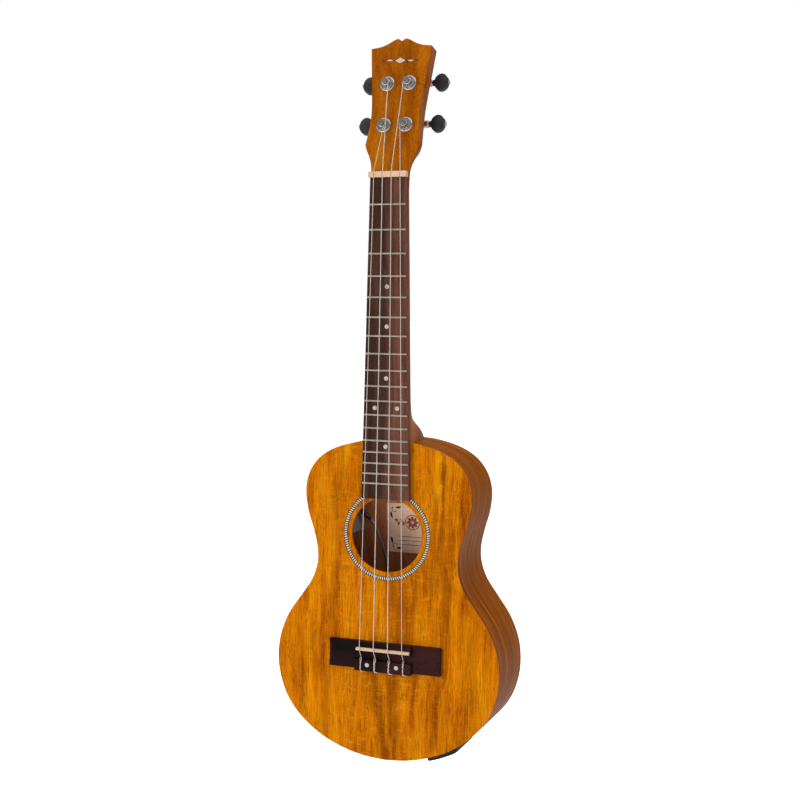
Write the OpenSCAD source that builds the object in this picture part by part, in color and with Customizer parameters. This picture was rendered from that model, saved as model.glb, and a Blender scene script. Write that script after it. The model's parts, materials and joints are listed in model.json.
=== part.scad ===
// Tenor ukulele with a pickup and a preamp, upright: strings face -Y, neck up +Z.
// Origin: centre of the nut's front edge, on the plane of the soundboard's outer face.

/* [Scale] */
// Vibrating length of the strings, nut to saddle
scale_length = 432; // [428:1:436]
// Number of frets
fret_count = 18; // [16:1:18]
// Width of the fretboard at the nut
board_w_nut = 35.2; // [34.5:0.1:37]
// Width of the fretboard at the end over the sound hole
board_w_end = 47; // [45:0.1:49]
// Thickness of the fretboard
board_t = 5; // [4.5:0.1:5.5]
// Height of a fret above the fretboard
fret_h = 0.9; // [0.8:0.05:1.1]

/* [Soundbox] */
// Greatest depth, soundboard face to the top of the arched back
body_depth = 79; // [77:0.5:81]
// Radius of the arched back
back_radius = 1150; // [1100:10:1250]
// Thickness of the soundboard
top_t = 2; // [1.8:0.1:2.2]
// Thickness of the back plate
back_t = 2.2; // [2:0.1:2.4]
// Thickness of the bent sides
side_t = 2; // [1.8:0.1:2.2]
// Radius of the sound hole
hole_r = 34.8; // [33:0.1:35.5]
// Inner radius of the rosette ring
rosette_r1 = 38.9; // [38:0.1:39.5]
// Outer radius of the rosette ring
rosette_r2 = 42.9; // [42:0.1:44]

/* [Strings] */
// Distance between neighbouring strings at the nut
nut_pitch = 8.5; // [8:0.1:9]
// Distance between neighbouring strings at the saddle
saddle_pitch = 14; // [13.6:0.1:14.4]
// Height of the strings' centres above the soundboard plane at the nut
string_h_nut = 6.9; // [6.8:0.05:7.1]
// Height of the saddle's top above the soundboard
saddle_h = 10.2; // [9.9:0.05:10.6]

/* [Headstock] */
// Angle by which the headstock leans back
head_tilt = 12.5; // [11:0.5:14]
// Thickness of the headstock with its veneer
head_t = 14; // [13:0.1:15]
// Distance of the tuning posts from the centreline
post_x = 10.6; // [10.4:0.1:11]
// Height of the lower pair of tuning posts above the nut, along the headstock
post_s_low = 50; // [49:0.5:52]
// Height of the upper pair of tuning posts above the nut, along the headstock
post_s_high = 89.6; // [88:0.2:91]
// Radius of a tuning post
post_r = 2.9; // [2.8:0.05:3]

/* [Hidden] */
$fn = 64;
eps = 0.01;
far = 400;

// ---- strings, one row each: [name, side (-1 bass, 1 treble), upper pair?, string index, radius]
G = [-1, false, -1.5, 0.35];
C = [-1, true, -0.5, 0.45];
E = [1, true, 0.5, 0.41];
A = [1, false, 1.5, 0.33];
function side_of(k) = k[0];
function post_s(k) = k[1] ? post_s_high : post_s_low;
function nut_x(k) = k[2] * nut_pitch - 0.45;
function saddle_x(k) = k[2] * saddle_pitch - 0.9;
function string_r(k) = k[3];

// ---- curves
function blend4(a, b, c, d, t) = 0.5 * (2 * b + (c - a) * t + (2 * a - 5 * b + 4 * c - d) * t * t
    + (3 * b - a - 3 * c + d) * t * t * t);
function curve(p, n) = [for (i = [0 : len(p) - 2]) for (j = [0 : n - 1])
    blend4(p[max(i - 1, 0)], p[i], p[i + 1], p[min(i + 2, len(p) - 1)], j / n), p[len(p) - 1]];
function mirrored(half) = [for (i = [len(half) - 1 : -1 : 0]) if (half[i][0] > eps) [-half[i][0], half[i][1]]];

// ---- soundbox outline, treble half, (x, z) from the heel down to the tail
body_top = -239.8;
body_end = -539;
half_body = [[0, body_top], [22, -241], [39, -244.2], [54, -249.3], [66, -256.5], [75, -266.5],
    [80.3, -278.5], [81.8, -292], [79.2, -309], [73.6, -326.5], [69.6, -343], [69.6, -358],
    [75, -374], [86.3, -390.5], [98.8, -408.5], [107.2, -429], [109.7, -450], [107.2, -470],
    [99.2, -490], [84.5, -508], [64, -522.8], [42, -532.2], [21, -537.3], [0, body_end]];
half_curve = curve(half_body, 4);
outline = concat(half_curve, mirrored(half_curve));
function turn_in(p, q, r, t) = q + t * [(r - p)[1], -(r - p)[0]] / norm(r - p);
function inset(t) = [for (i = [0 : len(outline) - 1])
    let (n = len(outline)) turn_in(outline[(i + n - 1) % n], outline[i], outline[(i + 1) % n], t)];

// A flat figure drawn in (x, z), thickened from y1 to y2
module slab(y1, y2) translate([0, y2, 0]) rotate([90, 0, 0]) linear_extrude(y2 - y1) children();
module body_slab(y1, y2, t = 0) slab(y1, y2) polygon(t == 0 ? outline : inset(t));
// A box from its lowest and highest corners
module span(a, b) translate(a) cube(b - a);
// A rod along +Y, from y1 to y2
module rod_y(r, y1, y2) translate([0, y1, 0]) rotate([-90, 0, 0]) cylinder(r = r, h = y2 - y1);
// The ball whose surface is the arched back, less t
arch_z = -455;
module arch(t) translate([0, body_depth - back_radius, arch_z]) sphere(back_radius - t, $fn = 400);
// The same surface as a shallow turned cap, for the slender braces
cap_step = 12;
module arch_cap(t) translate([0, body_depth - back_radius, arch_z]) rotate([-90, 0, 0]) rotate_extrude($fn = 180)
    polygon(concat([[0, 0]], [for (i = [0 : 17]) let (r = i * cap_step)
        [r, sqrt((back_radius - t) * (back_radius - t) - r * r)]], [[17 * cap_step, 0]]));

// ---- soundboard and what it carries
hole_z = -327.25;
rosette_depth = 1;
lining_w = 5;
lining_h = 8;
module at_hole() translate([0, 0, hole_z]) children();
module soundboard() color("orange") difference() {
    body_slab(0, top_t);
    at_hole() rod_y(hole_r, -1, top_t + 1);
    at_hole() difference() {
        rod_y(rosette_r2, -1, rosette_depth);
        rod_y(rosette_r1, -2, rosette_depth + 1);
    }
    at_bolts() rod_y(bolt_r, -1, top_t + 1);
    at_lead() rod_y(lead_hole_r, -1, top_t + 1);
}
module rosette() color("lightgray") at_hole() difference() {
    rod_y(rosette_r2, 0, rosette_depth);
    rod_y(rosette_r1, -1, rosette_depth + 1);
}
brace_w = 6;
brace_h = 9;
brace_tip = 3;
// A brace along X, glued to the soundboard, with scalloped ends
module cross_brace(z, half) translate([0, 0, z - brace_w / 2]) linear_extrude(brace_w)
    polygon([[-half, top_t], [half, top_t], [half, top_t + brace_tip], [half - 14, top_t + brace_h],
        [14 - half, top_t + brace_h], [-half, top_t + brace_tip]]);
// A fan brace from z1 up to z2
module fan_brace(x, z1, z2) translate([x - brace_w / 2, 0, 0]) rotate([90, 0, 90]) linear_extrude(brace_w)
    polygon([[top_t, z1], [top_t + brace_tip, z1], [top_t + brace_h - 2, z1 + 14],
        [top_t + brace_h - 2, z2 - 14], [top_t + brace_tip, z2], [top_t, z2]]);
module soundboard_braces() color("tan") {
    cross_brace(-282, 70);
    cross_brace(-376, 62);
    for (x = [-42, 42]) fan_brace(x, -505, -388);
    fan_brace(0, -520, -464);
}
plate_t = 2.2;
module bridge_plate() color("peru") difference() {
    span([-32, top_t, -460], [32, top_t + plate_t, -424]);
    at_bolts() rod_y(bolt_r, 0, 9);
    at_lead() rod_y(lead_hole_r, 0, 9);
}

// ---- sides, back and blocks
module rim(t1, t2) difference() {
    body_slab(top_t, body_depth, t1);
    body_slab(top_t - 1, body_depth + 1, t2);
}
module half_rim(side) intersection() {
    rim(0, side_t);
    arch(back_t);
    span([side < 0 ? -far : 0, 0, -600], [side < 0 ? 0 : far, 100, 0]);
}
module side_bass() color("saddlebrown") difference() {
    half_rim(-1);
    dowel_rods();
    at_preamp() span([-4, -case_y - fit_gap, case_z1 - fit_gap], [6, case_y + fit_gap, case_z2 + fit_gap]);
    preamp_screw_rods(screw_r);
}
module side_treble() color("saddlebrown") difference() {
    half_rim(1);
    dowel_rods();
    at_jack_panel() {
        span([-6, -cell_box_y, cell_box_z1], [8, cell_box_y, cell_box_z2]);
        span([-6, -socket_r - 1, socket_z - socket_r - 1], [8, socket_r + 1, cell_box_z1 + eps]);
    }
    jack_screw_rods(screw_r);
}
module back() color("saddlebrown") intersection() {
    body_slab(20, body_depth + 1);
    difference() { arch(0); arch(back_t); }
}
block_w = 26;
block_z = -272;
module neck_block() color("burlywood") difference() {
    intersection() {
        body_slab(top_t, body_depth, side_t);
        arch(back_t);
        span([-block_w, 0, block_z], [block_w, 100, -200]);
    }
    dowel_rods();
}
tail_w = 30;
tail_z = -525;
module tail_block() color("burlywood") intersection() {
    body_slab(top_t, body_depth, side_t);
    arch(back_t);
    span([-tail_w, 0, -600], [tail_w, 100, tail_z]);
}
module linings() color("burlywood") difference() {
    union() {
        intersection() { rim(side_t, side_t + lining_w); span([-far, 0, -600], [far, top_t + lining_h, 0]); }
        intersection() {
            rim(side_t, side_t + lining_w);
            difference() { arch(back_t); arch(back_t + lining_h); }
        }
    }
    span([-block_w, 0, -300], [block_w, 100, -200]);
    span([-tail_w, 0, -600], [tail_w, 100, -500]);
    at_preamp() span([-40, -case_y - fit_gap, case_z1 - fit_gap], [6, case_y + fit_gap, case_z2 + fit_gap]);
    preamp_screw_rods(screw_r);
    jack_screw_rods(screw_r);
}
module back_brace(z, half, front_y) intersection() {
    arch_cap(back_t);
    span([-half, front_y, z - brace_w / 2], [half, 100, z + brace_w / 2]);
}
module back_braces() color("tan") {
    back_brace(-287, 52, 55);
    back_brace(-402, 80, 67);
    back_brace(-478, 92, 68);
}
label_half_w = 26;
label_z1 = -356;
label_z2 = -307;
paper_t = 0.25;
module label() color("wheat") intersection() {
    difference() { arch(back_t); arch(back_t + paper_t); }
    span([-label_half_w, 40, label_z1], [label_half_w, 100, label_z2]);
}

// ---- headstock frame: X across, Y back from its face, Z up along it
head_y = -1.24;
veneer_t = 1.2;
nut_w = 5.3;
module at_head() translate([0, head_y, 0]) rotate([-head_tilt, 0, 0]) children();
function head_point(x, d, s) = [x, head_y + d * cos(head_tilt) + s * sin(head_tilt),
    s * cos(head_tilt) - d * sin(head_tilt)];
shoulder_s = 31.3;
neck_flare = [[18.5, 5.44], [18.9, 9], [19.9, 14.5], [22.2, 20.8], [25, 26.3], [26.8, shoulder_s]];
head_side = [[26.8, shoulder_s], [25.8, 38], [24.6, 46], [23.8, 54], [23.6, 62], [24.2, 72],
    [25.5, 85], [27.2, 102], [29.6, 124.4]];
head_crest = [[29.6, 124.4], [21.5, 125.4], [16.6, 126.8], [12.7, 128.6], [8.8, 130.8], [5.6, 132.3],
    [3.6, 132.5], [1.8, 131.6], [0, 130.3]];
head_half = concat(curve(head_side, 3), curve(head_crest, 3));
module head_plate(half, d1, d2) slab(d1, d2) polygon(concat(half, mirrored(half)));
module headstock_veneer() color("chocolate") difference() {
    at_head() head_plate(concat(curve(neck_flare, 3), head_half), 0, veneer_t);
    at_posts() rod_y(bushing_r, -1, 4);
    span([-40, -9, -20], [40, 9, nut_w]);
}

// ---- neck: sections are half ellipses that square up towards the headstock and the heel
function board_half(z) = (board_w_nut + (board_w_end - board_w_nut) * z / board_end) / 2;
board_end = -293.5;
ledge = 4;
// One row per section: position, half width, depth, squareness of the corner, lean in degrees
heel_rows = [for (r = [[-246, 59.5, 3.6], [-240, 58.5, 3.6], [-236, 55.5, 3.4], [-232, 50.5, 3.2],
    [-228, 42.5, 3], [-224, 33, 2.7], [-220, 24.5, 2.4], [-216, 20.8, 2.2], [-211, 18.4, 2.1],
    [-204, 16.6, 2]]) [r[0], board_half(r[0]), r[1], r[2], 0]];
neck_rows = [for (z = [-190, -150, -100, -50, -12]) [z, board_half(z), 15 - z * 0.003, 2, 0]];
flare_rows = [[0, 18.4, 15, 2, 0.5], [6, 18.6, 14.8, 2.1, 1], [10, 19.1, 14.5, 2.2, 1],
    [14.5, 19.9, 14.2, 2.5, 1], [18, 21.1, 14.1, 2.9, 1], [21.5, 22.5, 14, 3.4, 1],
    [24.5, 24.1, 14, 4.2, 1], [28, 25.8, 14, 5.5, 1], [shoulder_s + 0.7, 26.7, 14, 8, 1]];
section_n = 22;
function power(v, n) = sign(v) * pow(abs(v), 2 / n);
function section(w, d, n) = concat([[w, -ledge]], [for (i = [0 : section_n])
    let (a = 180 * i / section_n) [w * power(cos(a), n), d * power(sin(a), n)]], [[-w, -ledge]]);
function place(row) = let (lean = row[4] * head_tilt, s = row[0])
    [for (p = section(row[1], row[2], row[3]))
        [p[0], (s > 0 ? head_y + s * sin(head_tilt) : row[4] * head_y) + p[1] * cos(lean),
            (s > 0 ? s * cos(head_tilt) : s) - p[1] * sin(lean)]];
// A closed skin over rings of points
module skin(rings) {
    n = len(rings[0]);
    m = len(rings);
    polyhedron([for (r = rings) each r], concat([[for (i = [0 : n - 1]) i]],
        [for (j = [0 : m - 2]) for (i = [0 : n - 1])
            [j * n + i, (j + 1) * n + i, (j + 1) * n + (i + 1) % n, j * n + (i + 1) % n]],
        [[for (i = [n - 1 : -1 : 0]) (m - 1) * n + i]]), convexity = 6);
}
// The slanting cut that thins the back of each shoulder of the headstock
module shoulder_bevel() translate([26.8, 5.5, shoulder_s]) rotate([-6.9, 0, -51.3])
    translate([-50, 0, -24]) cube([100, 40, 90]);
dowel_r = 4;
dowel_len = 33;
module dowel_rods() for (y = [18, 40]) translate([0, y, -264]) cylinder(r = dowel_r, h = dowel_len);
module neck() color("peru") difference() {
    union() {
        skin([for (row = concat(heel_rows, neck_rows, flare_rows)) place(row)]);
        at_head() head_plate(head_half, veneer_t, head_t);
    }
    span([-40, -30, -260], [40, 0, nut_w]);
    intersection() {
        at_head() span([-40, -30, -20], [40, veneer_t, 140]);
        span([-50, -60, nut_w], [50, 60, 160]);
    }
    body_slab(-1, 100);
    dowel_rods();
    for (m = [0, 1]) mirror([m, 0, 0]) at_head() shoulder_bevel();
    at_posts() rod_y(bushing_r, -1, head_t + 1);
    at_posts() translate([0, 0, ear_s]) rod_y(screw_r, head_t - screw_len + ear_t, head_t + 1);
}
module neck_dowels() color("tan") dowel_rods();

// ---- fretboard and frets
function fret_z(n) = -scale_length * (1 - pow(2, -n / 12));
slot_w = 0.6;
slot_d = 1.8;
marker_r = 2;
marker_t = 1;
fret_inset = 0.7;
markers = [[5, 0], [7, 0], [10, 0], [12, -11], [12, 11], [15, 0]];
module at_markers() for (m = markers) translate([m[1], 0, (fret_z(m[0]) + fret_z(m[0] - 1)) / 2]) children();
module fret_tangs(h) for (n = [1 : fret_count]) let (w = board_half(fret_z(n)) - fret_inset)
    span([-w, -board_t - h, fret_z(n) - slot_w / 2], [w, slot_d - board_t, fret_z(n) + slot_w / 2]);
module fretboard() color("sienna") difference() {
    slab(-board_t, 0) polygon([[-board_half(0), 0], [board_half(0), 0],
        [board_half(board_end), board_end], [-board_half(board_end), board_end]]);
    fret_tangs(1);
    at_markers() rod_y(marker_r, -board_t - 1, marker_t - board_t);
}
module frets() color("silver") {
    for (n = [1 : fret_count]) let (w = board_half(fret_z(n)) - fret_inset) intersection() {
        translate([-w, -board_t, fret_z(n)]) rotate([0, 90, 0]) cylinder(r = fret_h, h = 2 * w, $fn = 32);
        span([-w, -board_t - 3, fret_z(n) - 3], [w, -board_t, fret_z(n) + 3]);
    }
    fret_tangs(0);
}
module fret_markers() color("white") at_markers() rod_y(marker_r, -board_t, marker_t - board_t);

// ---- nut, saddle and bridge
clear = 0.06;
nut_h = 7.7;
module nut() color("ivory") difference() {
    span([-18.6, -nut_h, 0], [17.7, 0, nut_w]);
    for (k = [G, C, E, A]) span([nut_x(k) - string_r(k) - clear, -nut_h - 1, -1],
        [nut_x(k) + string_r(k) + clear, -string_h_nut + string_r(k) + clear, nut_w + 1]);
    translate([0, -nut_h, nut_w]) rotate([-45, 0, 0]) cube([60, 1.4, 1.4], center = true);
}
saddle_z = -434;
saddle_t = 2.8;
saddle_x1 = -25.8;
saddle_x2 = 26.7;
saddle_foot = -3.3;
saddle_slot = -2.4;
bridge_half = 55;
wing_z1 = -453.5;
wing_z2 = -427.7;
wing_t = 4;
block_x1 = -28;
block_x2 = 27.4;
tie_z1 = -454.8;
tie_z2 = -444.5;
tie_t = 7.5;
tie_hole_y = -5;
tie_hole_r = 0.75;
ramp_y = -3.4;
scoop_r = 50;
bolt_x = 14.5;
bolt_mid = -1;
bolt_z = -449;
bolt_r = 1.4;
dot_r = 2;
dot_t = 1;
lead_x = -24;
lead_hole_r = 1.2;
module at_bolts() for (x = [-bolt_x, bolt_x]) translate([bolt_mid + x, 0, bolt_z]) children();
module at_lead() translate([lead_x, 0, saddle_z]) children();
module bridge() color("#2a1a18") difference() {
    union() {
        span([-bridge_half, -wing_t, wing_z1], [bridge_half, 0, wing_z2]);
        span([block_x1, -tie_t, tie_z1], [block_x2, 0, wing_z2]);
    }
    for (x = [-1, 1]) translate([x * 70, -50.1, (wing_z1 + wing_z2) / 2]) sphere(scoop_r);
    span([saddle_x1, -20, saddle_z - saddle_t / 2], [saddle_x2, saddle_slot, saddle_z + saddle_t / 2]);
    span([block_x1 - 1, -20, tie_z2], [block_x2 + 1, ramp_y, saddle_z - saddle_t / 2 - 1.6]);
    for (k = [G, C, E, A]) translate([saddle_x(k), tie_hole_y, tie_z1 - 1])
        cylinder(r = tie_hole_r, h = tie_z2 - tie_z1 + 2, $fn = 24);
    at_bolts() rod_y(bolt_r, -20, 1);
    at_bolts() rod_y(dot_r, -20, -3);
    at_lead() rod_y(lead_hole_r, -3, 1);
}
module saddle() color("ivory") intersection() {
    span([saddle_x1, -saddle_h, saddle_z - saddle_t / 2], [saddle_x2, saddle_foot, saddle_z + saddle_t / 2]);
    translate([-far / 2, saddle_t - saddle_h, saddle_z]) rotate([0, 90, 0]) union() {
        cylinder(r = saddle_t, h = far);
        translate([-20, 0, 0]) cube([40, 20, far]);
    }
}
module bridge_dots() color("white") at_bolts() rod_y(dot_r, -tie_t, dot_t - tie_t);
module bridge_bolts() color("silver") at_bolts() {
    rod_y(bolt_r, -tie_t + 2, top_t + plate_t + 3.2);
    rod_y(dot_r - 0.1, dot_t - tie_t, dot_t - tie_t + 2.2);
    difference() {
        translate([0, top_t + plate_t, 0]) rotate([-90, 0, 0]) cylinder(r = 3.1, h = 2.4, $fn = 6);
        rod_y(bolt_r, 0, 20);
    }
}
strip_w = 2.2;
lead_r = 0.9;
module pickup_strip() color("goldenrod") {
    span([lead_x - 1.5, saddle_foot, saddle_z - strip_w / 2], [saddle_x2 - 1, saddle_slot, saddle_z + strip_w / 2]);
    tube(concat([[lead_x, saddle_slot - 0.2, saddle_z]], curve(lead_route, 3)), lead_r);
}
lead_route = [[-24, 0, -434], [-24, 5, -434], [-27, 13, -430], [-36, 24, -418], [-47, 34, -400],
    [-54, 40, -378], [-54.5, 42, -356], [-51, 41, -342], [-47.6, 41, -333.4]];

// ---- tubes swept along a route, for the strings and the leads
function unit(v) = v / norm(v);
function along(p, i) = unit(p[min(i + 1, len(p) - 1)] - p[max(i - 1, 0)]);
function carried(u, t) = unit(u - (u * t) * t);
function frames(p, i, u) = i == len(p) ? [] : let (t = along(p, i), v = carried(u, t))
    concat([[v, cross(t, v)]], frames(p, i + 1, v));
module tube(p, r, sides = 8) {
    f = frames(p, 0, abs(along(p, 0)[1]) < 0.8 ? [0, 1, 0] : [0, 0, 1]);
    skin([for (i = [0 : len(p) - 1]) [for (a = [0 : sides - 1])
        p[i] + r * (f[i][0] * cos(a * 360 / sides) + f[i][1] * sin(a * 360 / sides))]]);
}

// ---- strings: wound on the post, over the nut and the saddle, through and round the tie block
wrap_d = -4.3;
wrap_turns = 2.25;
wrap_steps = 12;
wrap_gap = 0.2;
neck_r = 2.45;
function wrap_r(k) = neck_r + wrap_gap + string_r(k);
// The wrap starts low on the post and rises to where the string leaves, on the post's inner side
function wraps(k) = [for (i = [0 : wrap_steps * wrap_turns]) let (a = i * 360 / wrap_steps - 360 * wrap_turns)
    head_point(side_of(k) * (post_x - wrap_r(k) * cos(a)), wrap_d - i / wrap_steps * (2 * string_r(k) + 0.06),
        post_s(k) - wrap_r(k) * sin(a))];
function tail_route(k) = let (x = saddle_x(k), r = string_r(k)) [
    [x, -saddle_h - r - clear, saddle_z + 1.2], [x, -saddle_h - r - clear, saddle_z - 0.2],
    [x, -saddle_h + 0.5, saddle_z - saddle_t / 2 - r - 0.6], [x, tie_hole_y - 0.6, tie_z2 + 2],
    [x, tie_hole_y, tie_z2 + 0.4], [x, tie_hole_y, tie_z1 - 0.3],
    [x + 0.4, tie_hole_y - 0.7, tie_z1 - r - 0.4], [x + 0.7, -tie_t + 0.2, tie_z1 - r - 0.4],
    [x + 0.7, -tie_t - r - 0.15, tie_z1 + 0.5], [x + 0.9, -tie_t - r - 0.15, tie_z2 - 0.4],
    [x + 1.3, -tie_t - r + 0.2, tie_z2 + 0.9]];
function string_route(k) = concat(wraps(k),
    [[nut_x(k), -string_h_nut, nut_w + 0.5], [nut_x(k), -string_h_nut, 1]], tail_route(k));
module string_of(k) color("whitesmoke") tube(string_route(k), string_r(k));
module string_g() string_of(G);
module string_c() string_of(C);
module string_e() string_of(E);
module string_a() string_of(A);

// ---- tuners: a frame at each post, X outwards from the centreline, Y back, Z up the headstock
module at_post(k) at_head() translate([side_of(k) * post_x, 0, post_s(k)])
    mirror([side_of(k) < 0 ? 1 : 0, 0, 0]) children();
module at_posts() for (k = [G, C, E, A]) at_post(k) children();
bushing_r = 5;
bore_gap = 0.08;
washer_r = 7.1;
washer_t = 1.2;
hex_h = 2.2;
case_in = 7;
case_out = 7.5;
case_low = 7.5;
case_high = 12;
case_depth = 11;
worm_s = 6.4;
worm_d = head_t + 5.5;
worm_r = 2.2;
cog_r = 4.05;
cog_t = 3.4;
cog_teeth = 14;
shaft_r = 1.8;
barrel_r = 3.5;
barrel_end = 25.4 - post_x;
ear_s = -10.6;
ear_r = 3.2;
ear_t = 2.6;
screw_r = 1;
screw_len = 9;
screw_head_r = 1.9;
screw_head_t = 1.1;
rod_fn = 48;
module rod_x(r, x1, x2) translate([x1, 0, 0]) rotate([0, 90, 0]) cylinder(r = r, h = x2 - x1, $fn = rod_fn);
module at_worm() translate([0, worm_d, worm_s]) children();
module tuner_housings() color("silver") at_posts() difference() {
    union() {
        span([-case_in, head_t, -case_low], [case_out, head_t + case_depth, case_high]);
        translate([0, 0, ear_s]) rod_y(ear_r, head_t, head_t + ear_t);
        span([-ear_r, head_t, ear_s], [ear_r, head_t + ear_t, -case_low]);
        at_worm() rod_x(barrel_r, case_out, barrel_end);
    }
    rod_y(cog_r + 0.4, worm_d - cog_t / 2 - 0.4, worm_d + cog_t / 2 + 0.4);
    rod_y(post_r + bore_gap, head_t - 1, head_t + case_depth - 1.6);
    at_worm() rod_x(worm_r + 0.4, -case_in + 1.4, case_out - 1.4);
    at_worm() rod_x(shaft_r + bore_gap, 0, barrel_end + 1);
    translate([0, 0, ear_s]) rod_y(screw_r, head_t - 1, head_t + ear_t + 1);
}
module tuner_washers() color("silver") at_posts() rotate([90, 0, 0]) rotate_extrude()
    polygon([[bushing_r, 0], [washer_r, 0], [washer_r, 0.4], [washer_r - 0.5, 0.85],
        [washer_r - 1.3, washer_t], [bushing_r, washer_t]]);
module tuner_bushings() color("silver") at_posts() difference() {
    union() {
        rod_y(bushing_r, -washer_t, head_t);
        translate([0, -washer_t - hex_h, 0]) rotate([-90, 0, 0]) cylinder(r = 5.8, h = hex_h, $fn = 6);
    }
    rod_y(post_r + bore_gap, -20, head_t + 1);
}
post_top = 9.4;
groove_d1 = -7.4;
groove_d2 = -3.7;
module string_post(k) color("silver") at_post(k) difference() {
    union() {
        rod_y(post_r, -post_top + 0.5, head_t + case_depth - 2);
        rod_y(post_r - 0.5, -post_top, 0);
        difference() {
            rod_y(cog_r, worm_d - cog_t / 2, worm_d + cog_t / 2);
            for (i = [0 : cog_teeth - 1]) rotate([0, i * 360 / cog_teeth, 0])
                translate([cog_r, 0, 0]) rod_y(0.5, worm_d - cog_t, worm_d + cog_t);
        }
    }
    difference() {
        rod_y(post_r + 1, groove_d1, groove_d2);
        rod_y(neck_r, groove_d1 - 1, groove_d2 + 1);
    }
    translate([0, (groove_d1 + groove_d2) / 2, -5]) cylinder(r = 0.8, h = 10, $fn = 24);
}
button_x1 = 28.6 - post_x;
button_x2 = 41.8 - post_x;
button_mid = (button_x1 + button_x2) / 2;
button_half = 8.15;
button_crown = 18;
button_thick = 8;
hub_len = 1.6;
function oval(rx, rz) = [for (a = [0 : 7.5 : 352.5]) [rx * cos(a), rz * sin(a)]];
module worm_shaft(k) color("silver") at_post(k) at_worm() difference() {
    union() {
        rod_x(worm_r, -case_in + 1.8, case_out - 1.8);
        rod_x(shaft_r, 0, button_x2 - 2);
    }
    for (x = [-case_in + 3 : 1.35 : case_out - 2.6]) translate([x, 0, 0]) difference() {
        rod_x(worm_r + 1, 0, 0.6);
        rod_x(worm_r - 0.45, -1, 2);
    }
    rod_x(screw_r, button_x2 - 8, button_x2);
}
module tuner_button(k) color("#222") at_post(k) at_worm() difference() {
    union() {
        intersection() {
            translate([button_mid, 0, 0]) slab(-button_thick / 2, button_thick / 2)
                polygon(oval((button_x2 - button_x1) / 2, button_half));
            translate([button_mid, button_thick / 2 - button_crown, 0]) sphere(button_crown, $fn = 96);
            translate([button_mid, button_crown - button_thick / 2, 0]) sphere(button_crown, $fn = 96);
        }
        rod_x(2.9, button_x1 - hub_len, button_x1 + 3);
    }
    rod_x(shaft_r, 0, button_x2 - 2);
    rod_x(screw_r, 0, button_x2 + 2);
}
module button_screw(k) color("silver") at_post(k) at_worm() {
    rod_x(screw_r, button_x2 - 7.5, button_x2);
    difference() {
        rod_x(screw_head_r, button_x2, button_x2 + screw_head_t);
        translate([button_x2 + screw_head_t, 0, 0]) cube([1, 0.6, 2.6], center = true);
    }
}
module worm_shaft_g() worm_shaft(G);
module worm_shaft_c() worm_shaft(C);
module worm_shaft_e() worm_shaft(E);
module worm_shaft_a() worm_shaft(A);
module tuner_button_g() tuner_button(G);
module tuner_button_c() tuner_button(C);
module tuner_button_e() tuner_button(E);
module tuner_button_a() tuner_button(A);
module button_screw_g() button_screw(G);
module button_screw_c() button_screw(C);
module button_screw_e() button_screw(E);
module button_screw_a() button_screw(A);
module string_post_g() string_post(G);
module string_post_c() string_post(C);
module string_post_e() string_post(E);
module string_post_a() string_post(A);

// ---- a small wood screw along +X: head outside x = 0, shank inwards
module wood_screw() {
    rod_x(screw_r, -screw_len, 0);
    difference() {
        rod_x(screw_head_r, 0, screw_head_t);
        for (a = [0, 90]) rotate([a, 0, 0]) translate([screw_head_t, 0, 0]) cube([1, 0.5, 2.4], center = true);
    }
}
module small_screws() color("silver") {
    at_posts() translate([0, head_t + ear_t, ear_s]) rotate([0, 0, 90]) wood_screw();
    at_preamp() at_preamp_screws() translate([panel_out, 0, 0]) wood_screw();
    at_jack_panel() at_jack_screws() translate([jack_seat, 0, 0]) wood_screw();
}

// ---- preamp on the bass side: X outwards from the side, Z down along it
fit_gap = 0.2;
case_y = 17;
case_z1 = -19.5;
case_z2 = 22;
case_x = -28;
panel_y = 21;
panel_z = 28;
panel_out = 2.2;
wall = 1.4;
module at_preamp() translate([-76.6, 41, -318]) rotate([0, 165, 0]) children();
module at_preamp_screws() for (y = [-1, 1], z = [-1, 1])
    translate([0, y * (panel_y - 3.4), z * (panel_z - 3)]) children();
module preamp_screw_rods(r) at_preamp() at_preamp_screws() rod_x(r, -screw_len, 8);
// A rounded rectangle in (y, z), from x1 to x2
module round_plate(x1, x2, y, z, r) translate([x1, 0, 0]) rotate([90, 0, 90]) linear_extrude(x2 - x1)
    polygon([for (c = [[1, 1, 0], [-1, 1, 90], [-1, -1, 180], [1, -1, 270]]) for (a = [0 : 15 : 90])
        [c[0] * (y - r) + r * cos(c[2] + a), c[1] * (z - r) + r * sin(c[2] + a)]]);
case_lid = -4.6;
knob_y = 9;
knob_z = [-14, -3.5, 7];
knob_r = 4.6;
knob_x = panel_out + 0.3;
knob_h = 5;
stem_r = 3;
key_z = 16.5;
key_r = 3;
key_flange = 0.8;
key_proud = 1.2;
module preamp_panel() color("#222") difference() {
    at_preamp() round_plate(-3, panel_out, panel_y, panel_z, 4);
    body_slab(-1, 100);
    at_preamp() {
        for (z = knob_z) translate([0, knob_y, z]) rod_x(stem_r + bore_gap, -5, 6);
        translate([0, knob_y, key_z]) rod_x(key_r + bore_gap, -5, 6);
        span([-5, -14, -13], [6, -1, 9]);
    }
    preamp_screw_rods(screw_r);
}
module preamp_display() color("#335") difference() {
    at_preamp() span([-3, -14, -13], [panel_out - 0.4, -1, 9]);
    body_slab(-1, 100);
}
module preamp_housing() color("dimgray") intersection() {
    body_slab(-1, 100);
    at_preamp() difference() {
        span([case_x, -case_y, case_z1], [3, case_y, case_z2]);
        span([case_x + wall, -case_y + wall, case_z1 + wall], [case_lid, case_y - wall, case_z2 - wall]);
        for (z = knob_z) translate([0, knob_y, z]) rod_x(stem_r + bore_gap, -6, 4);
        translate([0, knob_y, key_z]) rod_x(key_r + bore_gap, -6, 4);
    }
}
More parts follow.
